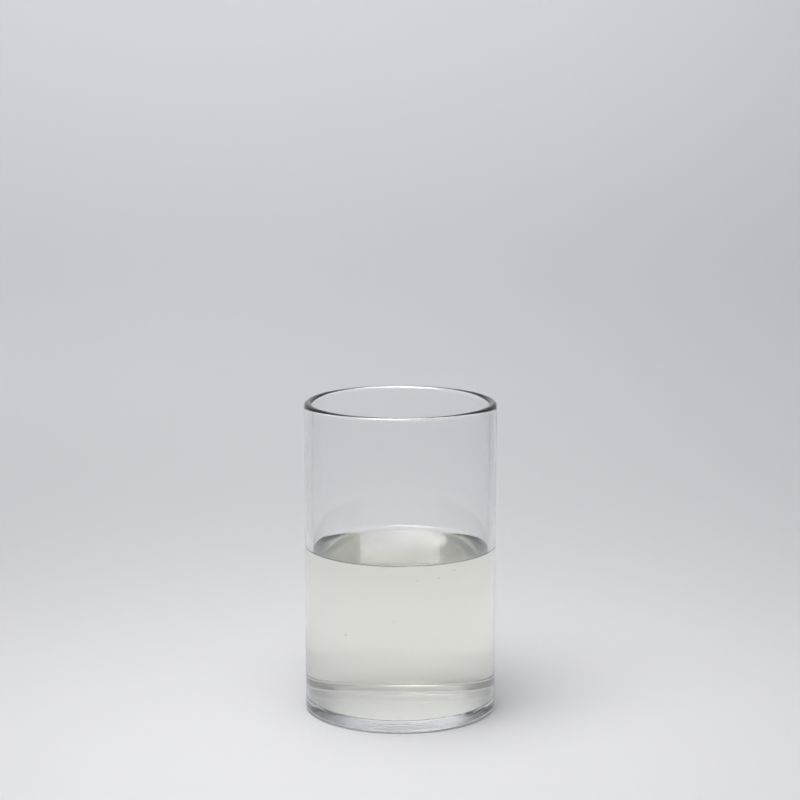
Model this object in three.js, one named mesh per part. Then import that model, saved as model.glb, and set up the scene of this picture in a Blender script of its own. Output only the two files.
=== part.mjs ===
// Straight-sided cylinder vase of clear glass, made in one piece: a round wall on a heavy flat base.
// Millimetres, +Z up, with the origin at the centre of the underside, where the vase stands.
import * as THREE from "three";

// Overall size.
const OUTER_DIAMETER = 150;
const HEIGHT = 245;
const WALL_THICKNESS = 6;
const BASE_THICKNESS = 9;

// Rounded corners, left by the mould and by the polishing flame.
const HEEL_RADIUS = 3.5;
const FLOOR_FILLET_RADIUS = 1.5;
const RIM_RADIUS = WALL_THICKNESS / 2;

// The underside is hollowed a little, so that the vase stands on a flat ring and doesn't rock.
const FOOT_RING_WIDTH = 11;
const UNDERSIDE_HOLLOW_DEPTH = 0.4;

// Facets round the vase, and steps along each curve of its outline. An arc has twice as many.
const FACETS_ROUND = 96;
const STEPS_PER_CURVE = 4;

const QUARTER_TURN = Math.PI / 2;

const clearGlass = new THREE.MeshStandardMaterial({
  name: "clear_glass",
  color: 0xeaf1ee,
  roughness: 0.02,
  metalness: 0,
  transparent: true,
  opacity: 0.35,
});

// Half of the vase's section, as radius across and height up. It runs from the axis along the
// underside, up the outside, over the rim, down the inside, and along the floor back to the axis.
function wallSection() {
  const outerRadius = OUTER_DIAMETER / 2;
  const innerRadius = outerRadius - WALL_THICKNESS;
  const footOuterRadius = outerRadius - HEEL_RADIUS;
  const footInnerRadius = footOuterRadius - FOOT_RING_WIDTH;
  const filletCentreRadius = innerRadius - FLOOR_FILLET_RADIUS;
  const filletCentreHeight = BASE_THICKNESS + FLOOR_FILLET_RADIUS;
  const rimCentreRadius = outerRadius - RIM_RADIUS;

  const section = new THREE.Path();
  section.moveTo(0, UNDERSIDE_HOLLOW_DEPTH);
  section.quadraticCurveTo(footInnerRadius / 2, UNDERSIDE_HOLLOW_DEPTH, footInnerRadius, 0);
  section.lineTo(footOuterRadius, 0);
  section.absarc(footOuterRadius, HEEL_RADIUS, HEEL_RADIUS, -QUARTER_TURN, 0, false);
  section.absarc(rimCentreRadius, HEIGHT - RIM_RADIUS, RIM_RADIUS, 0, Math.PI, false);
  section.absarc(
    filletCentreRadius, filletCentreHeight, FLOOR_FILLET_RADIUS, 0, -QUARTER_TURN, true,
  );
  section.lineTo(0, BASE_THICKNESS);
  return section.getPoints(STEPS_PER_CURVE);
}

function makeGlassCylinder() {
  const geometry = new THREE.LatheGeometry(wallSection(), FACETS_ROUND);
  const cylinder = new THREE.Mesh(geometry, clearGlass);
  cylinder.name = "glass_cylinder";
  // A lathe turns its outline about Y, and the vase stands along Z.
  cylinder.rotation.x = QUARTER_TURN;
  return cylinder;
}

const vase = new THREE.Group();
vase.add(makeGlassCylinder());

export default vase;
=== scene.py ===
"""Clear glass cylinder vase, about half full of water, on a pale studio floor. Metres, +Z up."""
import math
import random

import bmesh
import bpy
from mathutils import Matrix, Vector, noise


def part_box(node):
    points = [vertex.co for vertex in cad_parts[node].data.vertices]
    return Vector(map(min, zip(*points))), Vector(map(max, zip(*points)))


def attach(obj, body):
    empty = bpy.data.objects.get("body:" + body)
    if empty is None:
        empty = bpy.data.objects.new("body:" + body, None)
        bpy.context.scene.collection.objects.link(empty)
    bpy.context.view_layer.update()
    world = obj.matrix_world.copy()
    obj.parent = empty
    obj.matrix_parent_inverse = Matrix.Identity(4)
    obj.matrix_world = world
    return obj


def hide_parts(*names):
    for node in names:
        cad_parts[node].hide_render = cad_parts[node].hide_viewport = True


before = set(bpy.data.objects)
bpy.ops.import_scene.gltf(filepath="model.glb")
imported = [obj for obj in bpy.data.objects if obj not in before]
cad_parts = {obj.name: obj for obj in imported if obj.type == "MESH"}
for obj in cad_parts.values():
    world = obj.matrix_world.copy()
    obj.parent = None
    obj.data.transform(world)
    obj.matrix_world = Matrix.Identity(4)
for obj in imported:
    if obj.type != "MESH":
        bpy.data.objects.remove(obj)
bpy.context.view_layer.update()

# --- Sizes ------------------------------------------------------------------------------------------

glass_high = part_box("glass_cylinder")[1]
OUTER_RADIUS = glass_high[0]
HEIGHT = glass_high[2]
# The rest of the section is the same as the CAD's.
WALL = 0.006
BASE = 0.009
HEEL_RADIUS = 0.0035
FLOOR_FILLET = 0.0015
RIM_RADIUS = WALL / 2
FOOT_RING_WIDTH = 0.011
UNDERSIDE_HOLLOW = 0.0004
INNER_RADIUS = OUTER_RADIUS - WALL
FOOT_OUTER = OUTER_RADIUS - HEEL_RADIUS
FOOT_INNER = FOOT_OUTER - FOOT_RING_WIDTH

WATER_LEVEL = 0.1287
# The water reaches this far into the glass, so that no film of air is left between the two.
WATER_OVERLAP = 0.00015
CAPILLARY_LENGTH = 0.0027
MENISCUS_RISE = 0.0023

# How far the surfaces stray from true. Drawn and pressed glass is never quite even.
WALL_WAVE = 0.00007
OUTSIDE_WAVE = 0.00004
RIM_WAVE = 0.00025
FLOOR_RIPPLE = 0.00001
FLOOR_RIPPLE_LENGTH = 0.0065
UNDERSIDE_RIPPLE = 0.00004
UNDERSIDE_RIPPLE_LENGTH = 0.0052
WATER_RIPPLE = 0.00006

# How many tiny bubbles there are in the glass, and on the glass under water.
SEEDS_IN_BASE = 9
SEEDS_IN_WALL = 9
AIR_BUBBLES = 46

# How finely the meshes are cut.
ROUND_STEPS = 256
RING_SPACING = 0.004
FLOOR_RING_SPACING = 0.001
WATER_RING_SPACING = 0.0025
SHARP_ANGLE = math.radians(50)


# --- Mesh helpers -----------------------------------------------------------------------------------

def add_object(name, verts, faces):
    """A smooth-shaded mesh object, with creases only where its faces meet at a sharp angle."""
    mesh = bpy.data.meshes.new(name)
    mesh.from_pydata(verts, [], faces)
    mesh.validate()
    mesh.shade_smooth()
    mesh.set_sharp_from_angle(angle=SHARP_ANGLE)
    made = bpy.data.objects.new(name, mesh)
    bpy.context.scene.collection.objects.link(made)
    return made


def arc(centre_r, centre_z, radius, start, end, steps):
    """Points (r, z) along an arc between two angles in degrees, both ends included."""
    angles = [math.radians(start + (end - start) * i / steps) for i in range(steps + 1)]
    return [(centre_r + radius * math.cos(a), centre_z + radius * math.sin(a)) for a in angles]


def straight(start, end, spacing):
    """Points from start to end, both left out, about spacing apart."""
    count = max(1, round(math.dist(start, end) / spacing))
    points = []
    for i in range(1, count):
        share = i / count
        points.append(tuple(a + (b - a) * share for a, b in zip(start, end)))
    return points


def revolve(name, outline, stray):
    """A closed body of revolution whose outline starts and ends on the axis.

    stray(r, z, angle) tells how far each point is from true, outwards and upwards.
    """
    verts = [(0.0, 0.0, outline[0][1])]
    for r, z in outline[1:-1]:
        for i in range(ROUND_STEPS):
            angle = 2 * math.pi * i / ROUND_STEPS
            out, up = stray(r, z, angle)
            verts.append(((r + out) * math.cos(angle), (r + out) * math.sin(angle), z + up))
    verts.append((0.0, 0.0, outline[-1][1]))

    faces = []
    last_vert = len(verts) - 1
    last_ring = last_vert - ROUND_STEPS
    for i in range(ROUND_STEPS):
        j = (i + 1) % ROUND_STEPS
        faces.append((0, 1 + j, 1 + i))
        for ring in range(1, last_ring, ROUND_STEPS):
            above = ring + ROUND_STEPS
            faces.append((ring + i, ring + j, above + j, above + i))
        faces.append((last_ring + i, last_ring + j, last_vert))
    return add_object(name, verts, faces)


def add_bubbles(piece, bubbles):
    """Cuts small round holes inside a body. Each bubble is its centre, width and height."""
    body = bmesh.new()
    body.from_mesh(piece.data)
    for centre, width, height in bubbles:
        size = Matrix.Diagonal((width / 2, width / 2, height / 2, 1.0))
        place = Matrix.Translation(centre) @ size
        made = bmesh.ops.create_icosphere(body, subdivisions=2, radius=1.0, matrix=place)
        faces = list({face for vert in made["verts"] for face in vert.link_faces})
        for face in faces:
            face.smooth = True
        bmesh.ops.reverse_faces(body, faces=faces)
    body.to_mesh(piece.data)
    body.free()


def wave(angle, z, length, seed):
    """A smooth uneven wave round the wall, between -1 and 1. length is its rough wavelength."""
    x, y = OUTER_RADIUS * math.cos(angle), OUTER_RADIUS * math.sin(angle)
    height = noise.noise(Vector((x, y, z)) / length + Vector((0.0, 0.0, seed)))
    # Plain noise seldom comes near 1, so it is stretched a little and then cut off.
    stretch = 1.4
    return max(-1.0, min(1.0, stretch * height))


# --- Materials --------------------------------------------------------------------------------------

def clear_material(name, ior, absorbed, density):
    """Clear material that bends light. absorbed is the colour that a thick layer of it takes on."""
    material = bpy.data.materials.new(name)
    material.use_nodes = True
    nodes, links = material.node_tree.nodes, material.node_tree.links
    shader = nodes["Principled BSDF"]
    shader.inputs["Base Color"].default_value = (1.0, 1.0, 1.0, 1.0)
    shader.inputs["Roughness"].default_value = 0.0
    shader.inputs["IOR"].default_value = ior
    shader.inputs["Transmission Weight"].default_value = 1.0
    volume = nodes.new("ShaderNodeVolumeAbsorption")
    volume.inputs["Color"].default_value = (*absorbed, 1.0)
    volume.inputs["Density"].default_value = density
    links.new(volume.outputs["Volume"], nodes["Material Output"].inputs["Volume"])
    return material


def add_noise(nodes, links, scale, detail):
    """Noise on the object's own coordinates. scale is in cells a metre."""
    place = nodes.new("ShaderNodeTexCoord")
    texture = nodes.new("ShaderNodeTexNoise")
    texture.inputs["Scale"].default_value = scale
    texture.inputs["Detail"].default_value = detail
    links.new(place.outputs["Object"], texture.inputs["Vector"])
    return texture.outputs["Fac"]


def set_roughness(material, scale, noise_range, roughness_range):
    """Lets the roughness drift over the surface between two values."""
    nodes, links = material.node_tree.nodes, material.node_tree.links
    drift = nodes.new("ShaderNodeMapRange")
    drift.inputs["From Min"].default_value = noise_range[0]
    drift.inputs["From Max"].default_value = noise_range[1]
    drift.inputs["To Min"].default_value = roughness_range[0]
    drift.inputs["To Max"].default_value = roughness_range[1]
    links.new(add_noise(nodes, links, scale, detail=4.0), drift.inputs["Value"])
    links.new(drift.outputs["Result"], nodes["Principled BSDF"].inputs["Roughness"])


def set_bump(material, height, distance):
    """Bumps of up to distance, in metres, from a height between 0 and 1."""
    nodes, links = material.node_tree.nodes, material.node_tree.links
    bump = nodes.new("ShaderNodeBump")
    bump.inputs["Strength"].default_value = 1.0
    bump.inputs["Distance"].default_value = distance
    links.new(height, bump.inputs["Height"])
    links.new(bump.outputs["Normal"], nodes["Principled BSDF"].inputs["Normal"])


def glass_material(name):
    return clear_material(name, ior=1.5, absorbed=(0.72, 0.78, 0.77), density=1.6)


def polished_glass():
    """Clear glass with the faint orange peel of a fire-polished surface, and a few wipe marks."""
    material = glass_material("clear_glass")
    nodes, links = material.node_tree.nodes, material.node_tree.links
    orange_peel = add_noise(nodes, links, scale=130.0, detail=1.0)
    set_bump(material, orange_peel, distance=0.00001)
    set_roughness(material, scale=30.0, noise_range=(0.55, 0.8), roughness_range=(0.0, 0.05))
    return material


def worn_glass():
    """The foot ring's glass: ground flat in fine rings, and dulled by every surface it stood on."""
    material = glass_material("clear_glass_worn_foot")
    nodes, links = material.node_tree.nodes, material.node_tree.links
    place = nodes.new("ShaderNodeTexCoord")
    rings = nodes.new("ShaderNodeTexWave")
    rings.wave_type = "RINGS"
    rings.rings_direction = "Z"
    rings.inputs["Scale"].default_value = 240.0
    rings.inputs["Distortion"].default_value = 1.5
    links.new(place.outputs["Object"], rings.inputs["Vector"])
    set_bump(material, rings.outputs["Fac"], distance=0.000008)
    set_roughness(material, scale=400.0, noise_range=(0.3, 0.7), roughness_range=(0.08, 0.25))
    return material


# --- Glass ------------------------------------------------------------------------------------------

def glass_outline():
    """Half of the vase's section: along the underside, up the outside, down the inside, and in."""
    hollow_steps = round(FOOT_INNER / FLOOR_RING_SPACING)
    hollow = []
    for i in range(hollow_steps + 1):
        share = i / hollow_steps
        rise = UNDERSIDE_HOLLOW * (1 + math.cos(math.pi * share)) / 2
        hollow.append((FOOT_INNER * share, rise))
    rim_r, rim_z = OUTER_RADIUS - RIM_RADIUS, HEIGHT - RIM_RADIUS
    fillet_r, fillet_z = INNER_RADIUS - FLOOR_FILLET, BASE + FLOOR_FILLET
    heel = arc(FOOT_OUTER, HEEL_RADIUS, HEEL_RADIUS, start=-90, end=0, steps=10)
    rim = arc(rim_r, rim_z, RIM_RADIUS, start=0, end=180, steps=20)
    fillet = arc(fillet_r, fillet_z, FLOOR_FILLET, start=0, end=-90, steps=8)
    floor_end = (0.0, BASE)
    return (
        hollow
        + straight(hollow[-1], heel[0], FLOOR_RING_SPACING)
        + heel
        + straight(heel[-1], rim[0], RING_SPACING)
        + rim
        + straight(rim[-1], fillet[0], RING_SPACING)
        + fillet
        + straight(fillet[-1], floor_end, FLOOR_RING_SPACING)
        + [floor_end]
    )


def inside_stray(r, z, angle):
    """How far the inside of the glass strays from true, outwards and upwards."""
    wall_fade, floor_fade, broad_share = 0.02, 0.01, 0.75
    floor_radius = INNER_RADIUS - FLOOR_FILLET
    if r > floor_radius:
        fade = max(0.0, min(1.0, (z - BASE) / wall_fade, (HEIGHT - z) / wall_fade))
        # Heights are shrunk, so that the waves are drawn out upwards.
        broad = wave(angle, z * 0.5, length=0.03, seed=3.0)
        fine = wave(angle, z * 0.35, length=0.012, seed=9.0)
        return (broad_share * broad + (1 - broad_share) * fine) * WALL_WAVE * fade, 0.0
    fade = min(1.0, (floor_radius - r) / floor_fade)
    wander = 1.5 * wave(angle, 0.0, length=0.05, seed=5.0)
    turn = 2 * math.pi * r / FLOOR_RIPPLE_LENGTH + wander
    return 0.0, math.sin(turn) * FLOOR_RIPPLE * fade


def underside_stray(r, angle):
    """How far the underside rises in its shallow rings, left by the mould."""
    if r > FOOT_OUTER:
        return 0.0
    edge_fade = 0.004
    fade = min(1.0, (FOOT_OUTER - r) / edge_fade)
    wander = 1.5 * wave(angle, 0.0, length=0.05, seed=31.0)
    turn = 2 * math.pi * r / UNDERSIDE_RIPPLE_LENGTH + wander
    return UNDERSIDE_RIPPLE * fade * (1 - math.cos(turn)) / 2


def glass_stray(r, z, angle):
    """How far the glass strays from true. Its outside only goes inwards, so it never grows."""
    if z > HEIGHT - RIM_RADIUS:
        dip = (wave(angle, 0.0, length=0.04, seed=17.0) - 1.0) / 2
        return 0.0, dip * RIM_WAVE
    if r > OUTER_RADIUS - RIM_RADIUS and z > HEEL_RADIUS:
        end_fade = 0.01
        fade = min(1.0, (z - HEEL_RADIUS) / end_fade, (HEIGHT - z) / end_fade)
        dip = (wave(angle, z * 0.4, length=0.035, seed=23.0) - 1.0) / 2
        return dip * OUTSIDE_WAVE * fade, 0.0
    if z < BASE:
        return 0.0, underside_stray(r, angle)
    return inside_stray(r, z, angle)


def seeds_in_glass():
    """A few tiny bubbles left in the glass: round in the base, drawn out upwards in the wall."""
    chance = random.Random(4)
    seeds = []
    for _ in range(SEEDS_IN_BASE):
        angle = chance.uniform(0, 2 * math.pi)
        r = OUTER_RADIUS * math.sqrt(chance.uniform(0.02, 0.7))
        width = chance.uniform(0.0003, 0.0006)
        seeds.append(((r * math.cos(angle), r * math.sin(angle), BASE / 2), width, width))
    middle = (OUTER_RADIUS + INNER_RADIUS) / 2
    end_gap, stretch = 0.02, 2.2
    for _ in range(SEEDS_IN_WALL):
        angle = chance.uniform(0, 2 * math.pi)
        z = chance.uniform(end_gap, HEIGHT - end_gap)
        width = chance.uniform(0.00025, 0.0005)
        place = (middle * math.cos(angle), middle * math.sin(angle), z)
        seeds.append((place, width, stretch * width))
    return seeds


def make_glass():
    glass = revolve("vase_glass", glass_outline(), glass_stray)
    add_bubbles(glass, seeds_in_glass())
    glass.data.materials.append(polished_glass())
    glass.data.materials.append(worn_glass())
    for face in glass.data.polygons:
        r = math.hypot(face.center.x, face.center.y)
        if face.center.z <= UNDERSIDE_RIPPLE and FOOT_INNER < r < FOOT_OUTER:
            face.material_index = 1
    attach(glass, "root")
    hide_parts("glass_cylinder")


# --- Water ------------------------------------------------------------------------------------------

def meniscus():
    """The curve of still water up a wall: pairs of distance from the wall and rise above the level."""
    def run(rise):
        ratio = rise / CAPILLARY_LENGTH
        return CAPILLARY_LENGTH * (math.acosh(2 / ratio) - math.sqrt(4 - ratio * ratio))
    steps = 16
    least_rise = 0.00001
    curve = []
    for i in range(steps + 1):
        rise = least_rise + (MENISCUS_RISE - least_rise) * (1 - i / steps) ** 2
        curve.append((run(rise) - run(MENISCUS_RISE), rise))
    curve.append((curve[-1][0] + RING_SPACING, 0.0))
    return curve


def water_outline():
    """Half of the water's section: floor, fillet, wall, and the surface with its meniscus."""
    bottom = (0.0, BASE - WATER_OVERLAP)
    fillet_radius = FLOOR_FILLET + WATER_OVERLAP
    fillet_r, fillet_z = INNER_RADIUS - FLOOR_FILLET, BASE + FLOOR_FILLET
    fillet = arc(fillet_r, fillet_z, fillet_radius, start=-90, end=0, steps=8)
    contact = (INNER_RADIUS + WATER_OVERLAP, WATER_LEVEL + MENISCUS_RISE)
    surface = [(INNER_RADIUS - distance, WATER_LEVEL + rise) for distance, rise in meniscus()]
    centre = (0.0, WATER_LEVEL)
    return (
        [bottom]
        + straight(bottom, fillet[0], FLOOR_RING_SPACING)
        + fillet
        + straight(fillet[-1], contact, RING_SPACING)
        + [contact]
        + surface
        + straight(surface[-1], centre, WATER_RING_SPACING)
        + [centre]
    )


def water_stray(r, z, angle):
    """The water follows the inside of the glass, and its surface has a very slight swell."""
    on_surface = z > WATER_LEVEL - WATER_OVERLAP and r < INNER_RADIUS - WATER_OVERLAP
    if not on_surface:
        return inside_stray(r, max(z, BASE), angle)
    noise_height, swell_length, wall_fade = 0.02, 0.016, 0.006
    place = Vector((r * math.cos(angle), r * math.sin(angle), noise_height))
    swell = noise.noise(place / swell_length)
    fade = min(1.0, (INNER_RADIUS - r) / wall_fade)
    return 0.0, swell * WATER_RIPPLE * fade


def bubbles_in_water():
    """Small bubbles of air that cling to the inside of the glass, most of them near the surface."""
    chance = random.Random(11)
    gap, least_depth, depth_range, crowding = 0.00025, 0.004, 0.1, 2.2
    bubbles = []
    for _ in range(AIR_BUBBLES):
        width = chance.uniform(0.0004, 0.0011)
        angle = chance.uniform(0, 2 * math.pi)
        depth = least_depth + depth_range * chance.random() ** crowding
        r = INNER_RADIUS - width / 2 - gap
        place = (r * math.cos(angle), r * math.sin(angle), WATER_LEVEL - depth)
        bubbles.append((place, width, width))
    return bubbles


def make_water():
    water = revolve("water_fill", water_outline(), water_stray)
    add_bubbles(water, bubbles_in_water())
    clear_water = clear_material(
        "clear_water", ior=1.333, absorbed=(0.88, 0.89, 0.46), density=2.0,
    )
    water.data.materials.append(clear_water)
    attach(water, "root")


# --- Stage, light and camera ------------------------------------------------------------------------

def stage_material(name, wall_glow):
    """Matt pale paint, with painted light: it glows faintly of itself though it is no lamp, from
    nothing at the floor to wall_glow a metre up.
    """
    material = bpy.data.materials.new(name)
    material.use_nodes = True
    nodes, links = material.node_tree.nodes, material.node_tree.links
    shader = nodes["Principled BSDF"]
    shader.inputs["Base Color"].default_value = (0.79, 0.795, 0.82, 1.0)
    shader.inputs["Roughness"].default_value = 0.9
    shader.inputs["Specular IOR Level"].default_value = 0.1
    # Painted light: an emitted glow that grows brighter up the wall, with no lamp behind it.
    if wall_glow:
        place = nodes.new("ShaderNodeTexCoord")
        split = nodes.new("ShaderNodeSeparateXYZ")
        rise = nodes.new("ShaderNodeMapRange")
        rise.inputs["To Max"].default_value = wall_glow
        shader.inputs["Emission Color"].default_value = (0.97, 0.975, 1.0, 1.0)
        links.new(place.outputs["Object"], split.inputs["Vector"])
        links.new(split.outputs["Z"], rise.inputs["Value"])
        links.new(rise.outputs["Result"], shader.inputs["Emission Strength"])
    return material


def add_stage_sheet(name, rows, drop, wall_glow):
    """A piece of the studio: a smooth sheet through rows of points, set a little below the vase."""
    width = len(rows[0])
    verts = [point for row in rows for point in row]
    faces = []
    for start in range(0, len(verts) - width, width):
        for i in range(start, start + width - 1):
            faces.append((i, i + 1, i + 1 + width, i + width))
    sheet = add_object(name, verts, faces)
    sheet.location.z = -drop
    sheet.data.materials.append(stage_material(name, wall_glow))


def make_stage():
    """A plain pale floor that turns up into a wall all round, and a backdrop behind the vase."""
    centre_radius, floor_radius, bend_radius, wall_top = 0.001, 6.0, 2.0, 5.0
    bend = arc(floor_radius, bend_radius, bend_radius, start=-90, end=0, steps=24)
    turns = [2 * math.pi * i / ROUND_STEPS for i in range(ROUND_STEPS + 1)]
    rows = []
    for r, z in [(centre_radius, 0.0)] + bend + [(bend[-1][0], wall_top)]:
        rows.append([(r * math.cos(a), r * math.sin(a), z) for a in turns])
    # The floor's upturned wall gets the painted glow, so it lights itself; the backdrop gets none.
    add_stage_sheet("studio_floor", rows, drop=0.0002, wall_glow=0.16)

    half_width, start_y, sweep_radius, backdrop_top = 3.0, 1.7, 0.8, 4.0
    sweep = arc(start_y, sweep_radius, sweep_radius, start=-90, end=0, steps=24)
    profile = sweep + [(sweep[-1][0], backdrop_top)]
    rows = [[(-half_width, y, z), (half_width, y, z)] for y, z in profile]
    add_stage_sheet("studio_backdrop", rows, drop=0.0005, wall_glow=0.0)


def make_world():
    world = bpy.data.worlds.new("studio")
    world.use_nodes = True
    background = world.node_tree.nodes["Background"]
    background.inputs["Color"].default_value = (0.97, 0.975, 1.0, 1.0)
    background.inputs["Strength"].default_value = 0.42
    bpy.context.scene.world = world


def make_softbox(name, place, aim, width, height, power, spread):
    """A soft rectangular lamp. spread is the angle in degrees that its light keeps within."""
    light = bpy.data.lights.new(name, "AREA")
    light.shape = "RECTANGLE"
    light.size = width
    light.size_y = height
    light.energy = power
    light.color = (1.0, 0.99, 0.98)
    light.spread = math.radians(spread)
    lamp = bpy.data.objects.new(name, light)
    lamp.location = place
    lamp.rotation_euler = (Vector(aim) - Vector(place)).to_track_quat("-Z", "Y").to_euler()
    bpy.context.scene.collection.objects.link(lamp)
    return lamp


def make_lights():
    make_softbox(
        "key_softbox", place=(-0.18, -0.32, 1.1), aim=(0.0, -0.1, 0.0),
        width=0.8, height=0.8, power=2.45, spread=90,
    )
    # Only reflections see this one, so that it draws a line along the rim and lights nothing else.
    rim_card = make_softbox(
        "rim_card", place=(-0.1, 0.1, 1.3), aim=(0.0, 0.0, 0.2),
        width=1.2, height=0.5, power=14.0, spread=140,
    )
    rim_card.visible_diffuse = False
    rim_card.visible_transmission = False
    make_softbox(
        "floor_light", place=(-0.3, 0.9, 2.4), aim=(-0.2, 1.1, 0.0),
        width=1.6, height=1.2, power=2.1, spread=70,
    )
    make_softbox(
        "backdrop_light", place=(-0.4, 1.1, 2.6), aim=(-0.3, 2.3, 0.9),
        width=2.0, height=0.8, power=6.2, spread=110,
    )
    make_softbox(
        "backdrop_top_light", place=(-0.2, 1.7, 2.1), aim=(-0.2, 2.5, 1.2),
        width=2.4, height=0.3, power=3.6, spread=60,
    )


def make_camera():
    camera = bpy.data.cameras.new("camera")
    camera.sensor_width = 36.0
    camera.lens = 106.7
    tilt_down = math.radians(10.01)
    view = bpy.data.objects.new("camera", camera)
    view.location = (-0.0003, -1.8143, 0.5661)
    view.rotation_euler = (math.pi / 2 - tilt_down, 0.0, 0.0)
    bpy.context.scene.collection.objects.link(view)
    bpy.context.scene.camera = view


def set_light_paths():
    """Light may pass through many clear surfaces, and the colours are shown as they are."""
    scene = bpy.context.scene
    scene.view_settings.view_transform = "Standard"
    scene.cycles.max_bounces = 24
    scene.cycles.transmission_bounces = 24
    scene.cycles.glossy_bounces = 12


make_camera()
make_stage()
make_world()
make_lights()
set_light_paths()
make_glass()
make_water()
